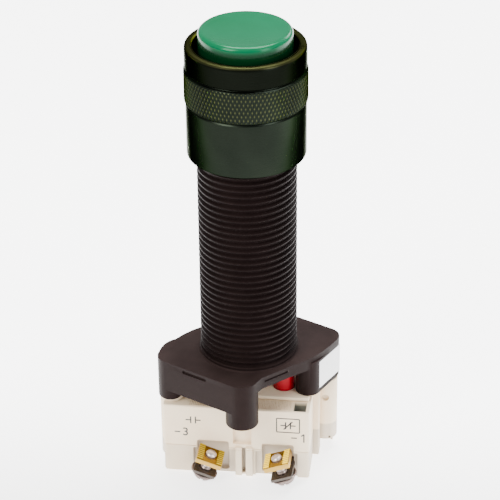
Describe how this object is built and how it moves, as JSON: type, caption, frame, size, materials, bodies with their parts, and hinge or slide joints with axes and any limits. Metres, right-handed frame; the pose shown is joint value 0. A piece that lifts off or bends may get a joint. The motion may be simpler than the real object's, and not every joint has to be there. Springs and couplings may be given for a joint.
{
  "type": "industrial push button",
  "caption": "Long-barrel panel push button: green cap in a knurled bezel ring on a threaded barrel, flange with legs, and a two-pole contact block with screw terminals.",
  "frame": {"origin": "on the button's axis, at the base of the contact block", "axes": "+Z along the barrel towards the cap, -Y out of the front face of the contact block, +X to the right seen from the front"},
  "size_m": [0.0558, 0.0484, 0.149],
  "materials": {
    "cap_green": "glossy moulded",
    "bezel_black": "black-green anodised, satin",
    "barrel_black": "matt moulded",
    "housing_white": "fine moulded",
    "acetal_white": "smooth moulded",
    "screw_steel": "nickel plated",
    "spring_steel": "drawn wire",
    "clamp_brass": "bright",
    "strap_silver": "silver plated",
    "plunger_red": "smooth moulded",
    "plunger_green": "smooth moulded",
    "seal_rubber": "matt",
    "label_white": "satin film, blank"
  },
  "bodies": {
    "operator": {"operator_body": "barrel_black", "bezel_ring": "bezel_black", "cap_seal": "seal_rubber", "stem_guide": "acetal_white", "return_spring": "spring_steel", "rating_label": "label_white", "screw_insert_left": "clamp_brass", "screw_insert_right": "clamp_brass", "mounting_screw_left": "screw_steel", "mounting_screw_right": "screw_steel", "housing_front": "housing_white", "housing_rear": "housing_white", "block_cover": "housing_white", "clamp_plate_front_left": "clamp_brass", "clamp_plate_front_right": "clamp_brass", "clamp_plate_rear_left": "clamp_brass", "clamp_plate_rear_right": "clamp_brass", "terminal_screw_front_left": "screw_steel", "terminal_screw_front_right": "screw_steel", "terminal_screw_rear_left": "screw_steel", "terminal_screw_rear_right": "screw_steel", "contact_strap_front_left": "strap_silver", "contact_strap_front_right": "strap_silver", "contact_strap_rear_left": "strap_silver", "contact_strap_rear_right": "strap_silver", "no_return_spring": "spring_steel", "nc_return_spring": "spring_steel"},
    "button": {"button_cap": "cap_green", "plunger_stem": "acetal_white", "retaining_clip": "spring_steel", "pusher_plate": "acetal_white", "stem_nut": "screw_steel"},
    "no_contact": {"no_plunger": "plunger_green", "no_contact_bridge": "clamp_brass", "no_contact_spring": "spring_steel"},
    "nc_contact": {"nc_plunger": "plunger_red", "nc_contact_bridge": "clamp_brass", "nc_contact_spring": "spring_steel"}
  },
  "joints": [
    {"name": "button_press", "type": "slide", "parent": "operator", "child": "button", "axis": [0, 0, -1], "range_m": [0, 0.004], "stiffness_N_per_m": 700, "springref_m": -0.004, "deforming": ["return_spring"]},
    {"name": "no_travel", "type": "slide", "parent": "operator", "child": "no_contact", "axis": [0, 0, -1], "range_m": [0, 0.004], "stiffness_N_per_m": 250, "springref_m": -0.003, "deforming": ["no_return_spring"]},
    {"name": "nc_travel", "type": "slide", "parent": "operator", "child": "nc_contact", "axis": [0, 0, -1], "range_m": [0, 0.004], "stiffness_N_per_m": 250, "springref_m": -0.003, "deforming": ["nc_return_spring"]}
  ],
  "couplings": [
    {"joint": "no_travel", "follows": "button_press", "ratio": 1},
    {"joint": "nc_travel", "follows": "button_press", "ratio": 1}
  ]
}
